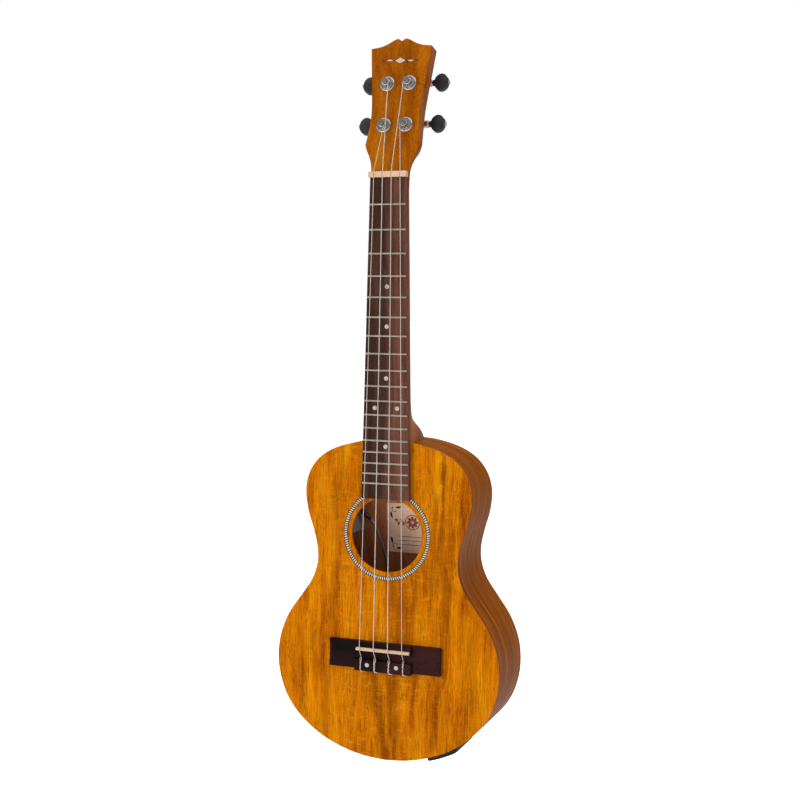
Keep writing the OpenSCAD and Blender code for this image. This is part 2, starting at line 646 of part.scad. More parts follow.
module knob_at(z) color("#111") at_preamp() translate([0, knob_y, z]) difference() {
    union() {
        rod_x(stem_r, case_lid - 3, knob_x);
        rod_x(knob_r, knob_x, knob_x + knob_h);
    }
    for (a = [0 : 20 : 340]) rotate([a, 0, 0]) translate([0, knob_r, 0]) rod_x(0.35, knob_x + 1, knob_x + 9);
    translate([knob_x + knob_h, 0, -knob_r / 2 - 0.6]) cube([1, 0.7, knob_r], center = true);
}
module volume_knob() knob_at(knob_z[0]);
module bass_knob() knob_at(knob_z[1]);
module treble_knob() knob_at(knob_z[2]);
module tuner_key() color("#333") at_preamp() translate([0, knob_y, key_z]) union() {
    rod_x(key_r, case_lid - 1, panel_out + key_proud);
    rod_x(key_r + key_flange, case_lid - 1.1, case_lid - 0.1);
}
plug_r = 2.6;
cable_r = 1.4;
plug_tip = [-34.5, 46.5, -321.5];
plug_root = [-47.2, 47.5, -310.9];
cable_route = [plug_tip, [-31.3, 47.2, -326], [-28.4, 49.5, -334], [-25.4, 53.5, -346], [-23, 57.5, -359],
    [-21.5, 60.5, -373], [-18, 62.5, -390], [-10, 63, -408], [1, 62.5, -428], [12, 60.5, -447],
    [21, 57.5, -463], [28.5, 54.5, -477], [34.5, 52.5, -488.5], [39.3, 52, -497.5], [43.4, 52, -507.7]];
module preamp_cable() color("gray") {
    tube(curve(cable_route, 3), cable_r);
    tube([plug_root, plug_tip], plug_r, 16);
}

// ---- jack and battery panel on the treble side near the tail: X outwards, Y along the side, Z to the front
jack_y = 35;
lid_r = 125;
lid_out = 5;
end_y = 15.5;
end_z = 27;
socket_z = -17;
socket_r = 5.6;
plug_bore_r = 3.25;
socket_len = 22;
jack_seat = 3.2;
socket_seat = 2.6;
flange_r = 7;
door_z1 = -8.5;
door_z2 = 18;
door_y = 11;
hinge_z = 18;
hinge_x = 3;
hinge_r = 1.5;
pin_r = 0.8;
door_t = 2;
cell_r = 8;
cell_t = 3.2;
cell_z = 4.5;
cell_box_y = 13.2;
cell_box_z1 = -10.6;
cell_box_z2 = 21.8;
cell_floor = -9;
module at_jack_panel() translate([51.8, jack_y, -528.5]) rotate([0, 68, 0]) rotate([90, 0, 0]) children();
module at_jack_screws() for (y = [-1, 1], z = [-1, 1]) translate([0, y * (end_y - 3.2), z * (end_z - 3)]) children();
module jack_screw_rods(r) at_jack_panel() at_jack_screws() rod_x(r, -screw_len + 2, 8);
module lid_arch(r, z) translate([lid_out - lid_r, 0, -z]) cylinder(r = r, h = 2 * z, $fn = 240);
module jack_panel() color("#181818") difference() {
    union() {
        difference() {
            at_jack_panel() intersection() {
                round_plate(-6, lid_out + 1, end_y, end_z, 5);
                lid_arch(lid_r, end_z + 1);
            }
            body_slab(-1, 100);
        }
        at_jack_panel() span([cell_floor - wall, -cell_box_y + fit_gap, cell_box_z1 + fit_gap],
            [1, cell_box_y - fit_gap, cell_box_z2 - fit_gap]);
    }
    at_jack_panel() {
        span([-1.6, -door_y - fit_gap, door_z1 - fit_gap], [9, door_y + fit_gap, door_z2 + door_t + 0.5]);
        span([cell_floor, -cell_r - 0.5, cell_z - cell_r - 0.5], [9, cell_r + 0.5, cell_z + cell_r + 0.5]);
        translate([hinge_x, 0, hinge_z]) rod_y(pin_r + 0.06, -door_y - 1.7, door_y + 1.7);
        translate([0, 0, socket_z]) rod_x(socket_r, -12, 12);
        translate([0, 0, socket_z]) rod_x(flange_r + fit_gap, socket_seat, 12);
        at_jack_screws() rod_x(screw_head_r + 0.2, jack_seat, 9);
    }
    jack_screw_rods(screw_r);
}
module battery_door() color("#202020") at_jack_panel() difference() {
    union() {
        intersection() {
            span([-4, -door_y, door_z1], [9, door_y, hinge_z]);
            difference() { lid_arch(lid_r, hinge_z); lid_arch(lid_r - door_t, end_z); }
        }
        translate([hinge_x, 0, hinge_z]) rod_y(hinge_r, -door_y, door_y);
        translate([hinge_x, 0, hinge_z]) rod_y(pin_r, -door_y - 1.4, door_y + 1.4);
        for (z = [-5.5 : 3 : 13]) translate([lid_out - 0.45, 0, z])
            rod_y(0.7, -door_y + 2.5, door_y - 2.5);
    }
}
module coin_cells() color("silver") at_jack_panel() for (x = [cell_floor, cell_floor + cell_t])
    translate([0, 0, cell_z]) rod_x(cell_r, x, x + cell_t - 0.02);
module output_socket() color("silver") at_jack_panel() translate([0, 0, socket_z]) difference() {
    union() {
        rod_x(socket_r - 0.05, -socket_len, socket_seat + 1);
        rod_x(flange_r, socket_seat, socket_seat + 1.6);
    }
    rod_x(plug_bore_r, -socket_len + 2, 8);
}

soundboard();
back();
side_bass();
side_treble();
neck_block();
tail_block();
linings();
soundboard_braces();
back_braces();
bridge_plate();
rosette();
label();
neck();
neck_dowels();
headstock_veneer();
fretboard();
frets();
fret_markers();
nut();
saddle();
bridge();
bridge_bolts();
bridge_dots();
string_g();
string_c();
string_e();
string_a();
tuner_housings();
tuner_washers();
tuner_bushings();
small_screws();
worm_shaft_g();
worm_shaft_c();
worm_shaft_e();
worm_shaft_a();
tuner_button_g();
tuner_button_c();
tuner_button_e();
tuner_button_a();
button_screw_g();
button_screw_c();
button_screw_e();
button_screw_a();
string_post_g();
string_post_c();
string_post_e();
string_post_a();
preamp_housing();
preamp_panel();
volume_knob();
bass_knob();
treble_knob();
tuner_key();
preamp_display();
preamp_cable();
jack_panel();
output_socket();
battery_door();
coin_cells();
pickup_strip();
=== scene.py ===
"""Looks of the tenor ukulele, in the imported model's own frame: metres, strings towards -Y, neck up +Z."""
import json
import math

import bmesh
import bpy
from mathutils import Matrix, Vector
from mathutils.bvhtree import BVHTree

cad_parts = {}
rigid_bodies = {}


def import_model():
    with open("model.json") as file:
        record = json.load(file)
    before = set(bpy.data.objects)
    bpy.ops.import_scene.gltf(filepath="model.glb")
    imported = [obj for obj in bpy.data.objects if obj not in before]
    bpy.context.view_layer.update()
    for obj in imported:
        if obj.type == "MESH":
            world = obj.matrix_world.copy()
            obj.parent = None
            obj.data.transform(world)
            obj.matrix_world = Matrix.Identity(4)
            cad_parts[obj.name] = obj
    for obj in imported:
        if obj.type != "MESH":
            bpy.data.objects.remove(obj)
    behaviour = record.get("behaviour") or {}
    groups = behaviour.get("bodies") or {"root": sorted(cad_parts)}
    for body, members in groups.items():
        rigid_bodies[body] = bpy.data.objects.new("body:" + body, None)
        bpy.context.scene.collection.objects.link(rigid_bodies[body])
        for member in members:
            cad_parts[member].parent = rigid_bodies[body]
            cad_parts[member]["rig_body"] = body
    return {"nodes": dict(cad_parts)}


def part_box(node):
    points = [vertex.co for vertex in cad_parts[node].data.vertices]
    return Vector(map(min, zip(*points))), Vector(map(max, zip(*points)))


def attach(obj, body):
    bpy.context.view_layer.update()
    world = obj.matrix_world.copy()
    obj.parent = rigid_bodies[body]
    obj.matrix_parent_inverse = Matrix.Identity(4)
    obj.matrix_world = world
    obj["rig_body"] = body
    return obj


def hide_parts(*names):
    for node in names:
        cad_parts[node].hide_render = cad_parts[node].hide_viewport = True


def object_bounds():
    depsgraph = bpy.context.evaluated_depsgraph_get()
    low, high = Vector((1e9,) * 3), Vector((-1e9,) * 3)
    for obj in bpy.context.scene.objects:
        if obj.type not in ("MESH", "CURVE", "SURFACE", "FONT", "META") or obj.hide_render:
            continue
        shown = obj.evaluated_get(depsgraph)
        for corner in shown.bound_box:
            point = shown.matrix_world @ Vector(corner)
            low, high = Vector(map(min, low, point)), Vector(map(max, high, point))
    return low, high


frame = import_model()
cad_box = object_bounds()
MM = 0.001
scene = bpy.context.scene
BODY = "instrument"


# ---------------------------------------------------------------- colours and shader nodes
def srgb(r, g, b):
    """An 8-bit display colour as a linear RGBA."""
    return tuple((v / 255 / 12.92) if v <= 10 else ((v / 255 + 0.055) / 1.055) ** 2.4 for v in (r, g, b)) + (1.0,)


class Shader:
    """A material that is built node by node; each call returns an output socket."""

    def __init__(self, name):
        self.material = bpy.data.materials.new(name)
        self.material.use_nodes = True
        self.tree = self.material.node_tree
        self.tree.nodes.clear()
        self.point = self.node("TexCoord").outputs["Object"]

    def node(self, kind, inputs=None, **props):
        n = self.tree.nodes.new("ShaderNode" + kind)
        for key, value in props.items():
            setattr(n, key, value)
        for key, value in (inputs or {}).items():
            self.feed(n.inputs[key], value)
        return n

    def feed(self, socket, value):
        if isinstance(value, bpy.types.NodeSocket):
            self.tree.links.new(value, socket)
        else:
            socket.default_value = value

    def math(self, op, a, b=0.0, c=0.0):
        return self.node("Math", {0: a, 1: b, 2: c}, operation=op).outputs[0]

    def vector(self, op, a, b):
        return self.node("VectorMath", {0: a, 1: b}, operation=op).outputs[0]

    def scaled(self, v, s):
        return self.vector("MULTIPLY", v, tuple(s))

    def xyz(self, v):
        n = self.node("SeparateXYZ", {0: v})
        return n.outputs[0], n.outputs[1], n.outputs[2]

    def join(self, x, y, z):
        return self.node("CombineXYZ", {0: x, 1: y, 2: z}).outputs[0]

    def noise(self, v, scale, detail=4.0, rough=0.55, warp=0.0):
        n = self.node("TexNoise", {"Vector": v, "Scale": scale, "Detail": detail, "Roughness": rough, "Distortion": warp})
        return n.outputs["Fac"]

    def ramp(self, fac, stops):
        """A linear ramp; each stop is a place and a colour, or a place and a grey value."""
        n = self.node("ValToRGB", {0: fac})
        points = n.color_ramp.elements
        while len(points) < len(stops):
            points.new(0.5)
        for p, (at, colour) in zip(points, stops):
            p.position = at
            p.color = colour if isinstance(colour, tuple) else (colour, colour, colour, 1)
        return n.outputs[0]

    def mix(self, fac, a, b, mode="MIX"):
        n = self.node("Mix", data_type="RGBA", blend_type=mode, clamp_factor=True)
        for index, value in ((0, fac), (6, a), (7, b)):  # 6, 7 and output 2 are the colour sockets
            self.feed(n.inputs[index], value)
        return n.outputs[2]

    def range(self, v, a, b, c=0.0, d=1.0):
        """v mapped from a..b to c..d and held between them."""
        return self.node("MapRange", {0: v, 1: a, 2: b, 3: c, 4: d}, clamp=True).outputs[0]

    def bump(self, height, strength, distance):
        return self.node("Bump", {"Height": height, "Strength": strength, "Distance": distance}).outputs[0]

    def finish(self, **sockets):
        """Feeds a Principled shader and closes the material."""
        shader = self.node("BsdfPrincipled", {k.replace("_", " "): v for k, v in sockets.items()})
        out = self.node("OutputMaterial")
        self.tree.links.new(shader.outputs[0], out.inputs[0])
        return self.material


def wood(name, tones, streak, seed, warp=0.004, fibre=0.25, pores=0.5, flame=0.0, rough=(0.34, 0.5), coat=0.0,
         gloss=0.25, scale=None, bump=0.25, edit=None, along="z", broad=0.45):
    """Wood with streaks along one axis. tones go from dark to light; streak is how many per metre across and along;
    scale overrides the noise's scale per axis; edit(shader, colour, tone, pore) changes the colour at the end."""
    s = Shader(name)
    p = s.vector("ADD", s.point, (seed * 0.37, seed * 0.11, seed * 0.23))
    across, length = streak
    scale = scale or {"z": (across, across, length), "x": (length, across, across)}[along]
    drift = s.noise(s.scaled(p, (9, 9, 5)), 1.0, 2.0)
    drift = s.math("MULTIPLY", s.math("SUBTRACT", drift, 0.5), warp * 10)
    q = s.scaled(s.vector("ADD", p, s.join(drift, s.math("MULTIPLY", drift, 0.6), 0.0)), scale)
    wide = s.noise(q, 0.3, 2.0, 0.5)
    band = s.noise(q, 1.0, 4.0, 0.6)
    line = s.noise(s.scaled(q, (3.1, 3.1, 1.7)), 1.0, 5.0, 0.68)
    tone = s.math("ADD", s.math("MULTIPLY", wide, broad), s.math("MULTIPLY", band, 0.62 - broad / 2))
    tone = s.math("ADD", tone, s.math("MULTIPLY", line, 0.38 - broad / 2))
    steps = [(0.36 + 0.28 * i / (len(tones) - 1), c) for i, c in enumerate(tones)]
    colour = s.ramp(tone, steps)
    thread = s.noise(s.scaled(q, (9, 9, 3.0)), 1.0, 4.0, 0.7)
    colour = s.mix(fibre, colour, s.ramp(thread, [(0.34, 0.30), (0.5, 0.82), (0.66, 1.0)]), "MULTIPLY")
    if flame:
        ripple = s.vector("ADD", s.scaled(p, (22, 22, 230)), s.join(s.math("MULTIPLY", drift, 60), 0.0, 0.0))
        wave = s.noise(ripple, 1.0, 3.0, 0.6, 0.6)
        where = s.range(s.noise(s.scaled(p, (17, 17, 10)), 1.0, 1.0), 0.36, 0.62)
        shade = s.ramp(wave, [(0.34, 0.55), (0.5, 0.92), (0.64, 1.0)])
        colour = s.mix(s.math("MULTIPLY", where, flame), colour, shade, "MULTIPLY")
    pore = s.noise(s.scaled(q, (15, 15, 14)), 1.0, 2.0, 0.5)
    pore = s.range(pore, 0.58, 0.66)
    sparse = s.range(s.noise(s.scaled(q, (1.6, 1.6, 1.4)), 1.0, 2.0), 0.42, 0.6)
    pore = s.math("MULTIPLY", pore, sparse)
    colour = s.mix(s.math("MULTIPLY", pore, pores), colour, s.mix(1.0, colour, (0.30, 0.22, 0.16, 1), "MULTIPLY"))
    if edit:
        colour = edit(s, colour, tone, pore)
    sheen = s.range(s.math("ADD", s.math("MULTIPLY", thread, 0.6), s.math("MULTIPLY", pore, 0.5)), 0.2, 0.9, *rough)
    height = s.math("SUBTRACT", s.math("MULTIPLY", thread, 0.5), pore)
    return s.finish(Base_Color=colour, Roughness=sheen, Normal=s.bump(height, bump, 0.00012), Coat_Weight=coat,
                    Coat_Roughness=0.25, Specular_IOR_Level=gloss)


# ---------------------------------------------------------------- woods
def flame_mask(s, x, z, top, bottom, widths, depth, fade=0.018):
    """A streak between two points (x, z) of the soundboard, in metres, feathered at its edges and ends."""
    (x1, z1), (x2, z2) = top, bottom
    way = s.range(z, z1, z2, 0.0, 1.0)
    middle = s.math("MULTIPLY_ADD", way, x2 - x1, x1)
    width = s.math("MULTIPLY_ADD", way, widths[1] - widths[0], widths[0])
    off = s.math("DIVIDE", s.math("ABSOLUTE", s.math("SUBTRACT", x, middle)), width)
    line = s.range(off, 0.25, 1.0, 1.0, 0.0)
    line = s.math("MULTIPLY", line, s.range(z, z1 + fade, z1 - fade, 0.0, 1.0))
    return s.math("MULTIPLY", line, s.range(z, z2 - fade, z2 + fade, 0.0, depth))


FLAMES = [  # upper end, lower end, half widths there, depth: the dark heartwood under the bridge, then single streaks
    ((-0.014, -0.455), (0.004, -0.560), (0.007, 0.009), 1.0), ((0.004, -0.445), (0.013, -0.560), (0.009, 0.006), 0.95),
    ((0.052, -0.452), (0.048, -0.520), (0.004, 0.005), 0.9), ((0.010, -0.360), (0.016, -0.440), (0.014, 0.012), 0.7),
    ((0.031, -0.360), (0.026, -0.410), (0.005, 0.004), 0.8), ((-0.050, -0.365), (-0.056, -0.425), (0.007, 0.005), 0.7),
    ((0.057, -0.250), (0.053, -0.345), (0.004, 0.005), 1.0), ((0.047, -0.275), (0.045, -0.375), (0.003, 0.006), 0.7),
    ((0.055, -0.345), (0.060, -0.420), (0.006, 0.004), 0.7), ((-0.058, -0.455), (-0.062, -0.515), (0.007, 0.006), 0.45),
    ((-0.046, -0.245), (-0.052, -0.330), (0.004, 0.006), 0.5), ((0.084, -0.405), (0.080, -0.500), (0.004, 0.007), 0.4),
    ((-0.088, -0.415), (-0.084, -0.490), (0.006, 0.004), 0.35)]


def top_shading(s, colour, tone, pore):
    """The soundboard's dark figure, rippled across the grain; bright ribbon streaks, partly figure and partly a painted
    highlight, strongest near the middle; and the glue seam down its middle.
    """
    x, _, z = s.xyz(s.point)
    wander = s.noise(s.scaled(s.point, (60, 60, 14)), 1.0, 4.0, 0.65)
    bent = s.math("ADD", x, s.math("MULTIPLY", s.math("SUBTRACT", wander, 0.5), 0.022))
    total = None
    for shape in FLAMES:
        mask = flame_mask(s, bent, z, *shape)
        total = mask if total is None else s.math("MAXIMUM", total, mask)
    grain = s.noise(s.scaled(s.point, (430, 430, 22)), 1.0, 5.0, 0.7)
    total = s.math("MULTIPLY", total, s.range(grain, 0.36, 0.56, 0.55, 1.0))
    wavy = s.vector("ADD", s.scaled(s.point, (70, 70, 330)), s.join(0.0, 0.0, s.math("MULTIPLY", wander, 5)))
    ribbon = s.noise(wavy, 1.0, 3.0, 0.6, 0.3)
    total = s.math("MULTIPLY", total, s.range(ribbon, 0.38, 0.56, 0.6, 1.0))
    colour = s.mix(total, colour, srgb(122, 52, 0))
    # painted highlight: bright ribbon streaks, partly the wood's figure, strongest near the soundboard's middle
    shine = s.math("MULTIPLY", s.range(ribbon, 0.52, 0.66), s.range(s.math("ABSOLUTE", x), 0.03, 0.075, 0.32, 0.1))
    colour = s.mix(shine, colour, srgb(236, 160, 18))
    seam = s.range(s.math("ABSOLUTE", x), 0.0001, 0.0005, 0.3, 0.0)
    return s.mix(seam, colour, srgb(130, 70, 10))


def painted_bass_side_shade(s, colour, tone, pore):
    """Painted shade: darkens the bass side to nearly black and leaves the treble side red-brown."""
    x = s.xyz(s.point)[0]
    wander = s.noise(s.scaled(s.point, (120, 120, 6)), 1.0, 3.0)
    edge = s.math("ADD", x, s.math("MULTIPLY", s.math("SUBTRACT", wander, 0.5), 0.012))
    # painted shade: the colour is multiplied down towards black on the bass side of the middle
    return s.mix(s.range(edge, -0.003, 0.007, 1.0, 0.0), colour, s.mix(1.0, colour, (0.40, 0.43, 0.46, 1), "MULTIPLY"))


def back_inside(s, colour, tone, pore):
    """Bare red-brown wood on the faces that look into the soundbox, and the stained finish outside."""
    face = s.xyz(s.node("NewGeometry").outputs["Normal"])
    bare = s.ramp(tone, [(0.36, srgb(112, 66, 40)), (0.5, srgb(158, 100, 66)), (0.64, srgb(188, 130, 92))])
    bare = s.mix(s.math("MULTIPLY", pore, 0.6), bare, srgb(84, 46, 28))
    return s.mix(s.range(face[1], -0.35, -0.25, 1.0, 0.0), colour, bare)


koa = [srgb(146, 66, 0), srgb(190, 98, 0), srgb(220, 124, 0), srgb(232, 140, 2), srgb(244, 160, 10)]
TOP = wood("soundboard_wood", koa, (120, 13), 1, warp=0.003, fibre=0.7, pores=1.0, flame=0.35, rough=(0.42, 0.58),
           gloss=0.03, edit=top_shading, bump=0.2, broad=0.3)
stain = [srgb(104, 48, 2), srgb(134, 68, 3), srgb(160, 86, 5), srgb(184, 104, 10)]
SIDE = wood("side_wood", stain, (110, 5), 3, warp=0.002, fibre=0.45, pores=0.5, scale=(9, 190, 9), rough=(0.36, 0.5),
            gloss=0.03, bump=0.15, broad=0.2)
BACK = wood("back_wood", stain, (90, 4), 4, warp=0.004, fibre=0.4, pores=0.5, flame=0.4, rough=(0.36, 0.5), gloss=0.08,
            edit=back_inside, bump=0.15)
NECK = wood("neck_wood", [srgb(112, 54, 14), srgb(140, 73, 24), srgb(164, 91, 38), srgb(182, 108, 50)], (140, 6), 5,
            fibre=0.35, pores=0.6, rough=(0.36, 0.5), gloss=0.1, bump=0.12)
HEAD = wood("veneer_wood", [srgb(140, 70, 4), srgb(166, 88, 6), srgb(186, 104, 8), srgb(202, 122, 14)], (120, 7), 6,
            fibre=0.6, pores=0.8, rough=(0.4, 0.54), gloss=0.03, bump=0.15)
# the fretboard and the bridge carry painted shade on their bass side
BOARD = wood("fretboard_wood", [srgb(76, 44, 38), srgb(98, 60, 50), srgb(118, 76, 62), srgb(138, 92, 76)], (220, 7), 8,
             fibre=0.5, pores=0.8, rough=(0.45, 0.62), gloss=0.06, bump=0.35, edit=painted_bass_side_shade)
BRIDGE = wood("bridge_wood", [srgb(10, 8, 8), srgb(20, 15, 14), srgb(34, 20, 19), srgb(60, 28, 28)], (120, 8), 9,
              fibre=0.4, pores=0.6, rough=(0.36, 0.5), gloss=0.08, along="x", bump=0.3, broad=0.7, edit=painted_bass_side_shade)
PALE = wood("brace_wood", [srgb(176, 140, 98), srgb(196, 162, 118), srgb(212, 180, 138), srgb(222, 194, 154)], (160, 5),
            11, fibre=0.35, pores=0.1, rough=(0.6, 0.75), bump=0.3)


# ---------------------------------------------------------------- the other materials
def speckled(name, colour, rough, metallic=0.0, spread=0.08, scale=900, bump=0.05, **more):
    """A plain substance with slow tone drift, fine surface texture, and roughness that varies with it."""
    s = Shader(name)
    slow = s.noise(s.scaled(s.point, (60, 60, 60)), 1.0, 3.0)
    fine = s.noise(s.scaled(s.point, (scale, scale, scale)), 1.0, 2.0)
    dark = tuple(c * (1 - spread * 2) for c in colour[:3]) + (1,)
    light = tuple(min(1, c * (1 + spread)) for c in colour[:3]) + (1,)
    base = s.ramp(slow, [(0.3, dark), (0.7, light)])
    gloss = s.range(s.math("ADD", s.math("MULTIPLY", slow, 0.5), s.math("MULTIPLY", fine, 0.5)), 0.3, 0.7, *rough)
    return s.finish(Base_Color=base, Roughness=gloss, Metallic=metallic, Normal=s.bump(fine, bump, 0.0001), **more)


CHROME = speckled("chrome_plate", (0.66, 0.65, 0.65), (0.08, 0.16), 1.0, 0.03, 500, 0.02)
STEEL = speckled("plain_steel", (0.55, 0.55, 0.56), (0.25, 0.38), 1.0, 0.05, 700, 0.05)
FRET = speckled("fret_metal", (0.62, 0.57, 0.46), (0.28, 0.4), 1.0, 0.08, 900, 0.04)
BONE = speckled("bone", srgb(226, 188, 156), (0.34, 0.46), 0.0, 0.05, 400, 0.04, Subsurface_Weight=0.15,
                Subsurface_Radius=(0.002, 0.0014, 0.001), Subsurface_Scale=1.0)
NYLON = speckled("nylon", srgb(206, 198, 188), (0.18, 0.28), 0.0, 0.02, 600, 0.02, Subsurface_Weight=0.2,
                 Subsurface_Radius=(0.0006, 0.0006, 0.0006), Subsurface_Scale=1.0, Coat_Weight=0.3)
BUTTON = speckled("button_plastic", srgb(40, 42, 43), (0.42, 0.56), 0.0, 0.12, 1500, 0.12)
BLACK = speckled("moulded_plastic", srgb(26, 26, 28), (0.4, 0.55), 0.0, 0.12, 1800, 0.2)
GREY = speckled("grey_plastic", srgb(104, 104, 106), (0.45, 0.6), 0.0, 0.08, 1200, 0.1)
GLASS = speckled("smoked_window", srgb(26, 32, 42), (0.06, 0.12), 0.0, 0.1, 300, 0.01, Coat_Weight=0.6)
CABLE = speckled("cable_sheath", srgb(92, 98, 104), (0.3, 0.42), 0.0, 0.08, 900, 0.06)
PLUG = speckled("plug_plastic", srgb(22, 22, 24), (0.35, 0.5), 0.0, 0.1, 900, 0.06)


def braided():
    """Woven copper braid: two families of fine diagonal strands."""
    s = Shader("copper_braid")
    x, y, z = s.xyz(s.point)
    a = s.math("SINE", s.math("MULTIPLY", s.math("ADD", z, s.math("ADD", x, y)), 9000))
    b = s.math("SINE", s.math("MULTIPLY", s.math("SUBTRACT", z, s.math("ADD", x, y)), 9000))
    weave = s.math("MULTIPLY_ADD", s.math("MULTIPLY", a, b), 0.5, 0.5)
    base = s.ramp(weave, [(0.2, srgb(112, 78, 42)), (0.8, srgb(214, 170, 108))])
    return s.finish(Base_Color=base, Metallic=0.9, Roughness=s.range(weave, 0, 1, 0.5, 0.28),
                    Normal=s.bump(weave, 0.5, 0.0002))


def pearl():
    s = Shader("pearl")
    cloud = s.noise(s.scaled(s.point, (420, 420, 300)), 1.0, 4.0, 0.6, 1.5)
    base = s.ramp(cloud, [(0.3, srgb(150, 150, 146)), (0.5, srgb(196, 190, 182)), (0.7, srgb(216, 204, 200))])
    return s.finish(Base_Color=base, Roughness=s.range(cloud, 0.3, 0.7, 0.12, 0.25), Coat_Weight=0.5,
                    Normal=s.bump(cloud, 0.1, 0.0002))


def rope_inlay():
    """Rosette: slanted light slips between dark ones, round the hole's centre, between two thin dark borders."""
    s = Shader("rope_inlay")
    x, _, z = s.xyz(s.point)
    low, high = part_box("rosette")
    hole_z = (low.z + high.z) / 2
    outer = high.x
    up = s.math("SUBTRACT", z, hole_z)
    turn = s.math("ARCTAN2", up, x)
    radius = s.math("SQRT", s.math("ADD", s.math("MULTIPLY", x, x), s.math("MULTIPLY", up, up)))
    inward = s.math("SUBTRACT", outer, radius)
    slips = 118
    slant = 95
    phase = s.math("MULTIPLY_ADD", turn, slips / (2 * math.pi), s.math("MULTIPLY", inward, slant))
    tooth = s.math("FRACT", phase)
    tooth = s.math("ABSOLUTE", s.math("SUBTRACT", tooth, 0.5))
    light = s.range(tooth, 0.22, 0.30)
    border = s.math("ABSOLUTE", s.math("SUBTRACT", inward, 0.002))
    light = s.math("MULTIPLY", light, s.range(border, 0.0013, 0.00145, 1.0, 0.0))
    tint = s.noise(s.scaled(s.point, (300, 300, 300)), 1.0, 2.0)
    pale = s.ramp(tint, [(0.3, srgb(196, 192, 172)), (0.7, srgb(224, 220, 202))])
    dark = s.ramp(tint, [(0.3, srgb(34, 30, 26)), (0.7, srgb(58, 52, 44))])
    return s.finish(Base_Color=s.mix(light, dark, pale), Roughness=s.range(light, 0, 1, 0.45, 0.38),
                    Normal=s.bump(light, 0.1, 0.0001))


def paper():
    """Laid cream paper, a little darker towards its edges."""
    s = Shader("label_paper")
    low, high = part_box("label")
    x, _, z = s.xyz(s.point)
    pulp = s.noise(s.scaled(s.point, (500, 500, 500)), 1.0, 4.0, 0.6)
    base = s.ramp(pulp, [(0.3, srgb(228, 198, 172)), (0.7, srgb(242, 216, 192))])
    side = s.math("DIVIDE", s.math("ABSOLUTE", x), high.x)
    tall = s.math("DIVIDE", s.math("ABSOLUTE", s.math("SUBTRACT", z, (low.z + high.z) / 2)), (high.z - low.z) / 2)
    edge = s.range(s.math("MAXIMUM", side, tall), 0.8, 1.0, 0.0, 0.35)
    base = s.mix(edge, base, srgb(186, 156, 130))
    return s.finish(Base_Color=base, Roughness=s.range(pulp, 0.3, 0.7, 0.7, 0.85), Normal=s.bump(pulp, 0.2, 0.0001))


BRAID, PEARL, ROPE, PAPER = braided(), pearl(), rope_inlay(), paper()
INK = speckled("dark_ink", srgb(52, 44, 40), (0.6, 0.75), 0.0, 0.1, 900, 0.05)
RED_INK = speckled("red_brown_ink", srgb(140, 62, 32), (0.55, 0.7), 0.0, 0.15, 700, 0.05)
INLAY_DARK = speckled("inlay_dark", srgb(74, 48, 34), (0.35, 0.5), 0.0, 0.1, 900, 0.05)
INLAY_LIGHT = speckled("inlay_light", srgb(214, 190, 160), (0.3, 0.45), 0.0, 0.08, 600, 0.05)

DRESS = {
    "soundboard": TOP, "back": BACK, "side_bass": SIDE, "side_treble": SIDE, "neck_block": PALE, "tail_block": PALE,
    "linings": PALE, "soundboard_braces": PALE, "back_braces": PALE, "bridge_plate": PALE, "rosette": ROPE,
    "label": PAPER, "neck": NECK, "neck_dowels": PALE, "headstock_veneer": HEAD, "fretboard": BOARD, "frets": FRET,
    "fret_markers": PEARL, "nut": BONE, "saddle": BONE, "bridge": BRIDGE, "bridge_bolts": STEEL, "bridge_dots": PEARL,
    "tuner_housings": CHROME, "tuner_washers": CHROME, "tuner_bushings": CHROME, "small_screws": CHROME,
    "preamp_housing": GREY, "preamp_panel": BLACK, "volume_knob": BLACK, "bass_knob": BLACK, "treble_knob": BLACK,
    "tuner_key": BLACK, "preamp_display": GLASS, "preamp_cable": CABLE, "jack_panel": BLACK, "output_socket": CHROME,
    "battery_door": BLACK, "coin_cells": STEEL, "pickup_strip": BRAID}
for key in "gcea":
    DRESS.update({"string_" + key: NYLON, "worm_shaft_" + key: CHROME, "tuner_button_" + key: BUTTON,
                  "button_screw_" + key: CHROME, "string_post_" + key: CHROME})
for name, material in DRESS.items():
    mesh = frame["nodes"][name].data
    mesh.materials.clear()
    mesh.materials.append(material)


# ---------------------------------------------------------------- shaping helpers
def sharpen(mesh, angle):
    """Smooth shading with hard edges where neighbouring faces turn by more than angle degrees."""
    bm = bmesh.new()
    bm.from_mesh(mesh)
    for f in bm.faces:
        f.smooth = True
    for e in bm.edges:
        e.smooth = e.calc_face_angle(math.pi) < math.radians(angle)
    bm.to_mesh(mesh)
    bm.free()


def as_piece(name, shape, body=BODY):
    """A new object around a mesh or a curve, riding on a body of the frame."""
    piece = bpy.data.objects.new(name, shape)
    scene.collection.objects.link(piece)
    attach(piece, body)
    return piece


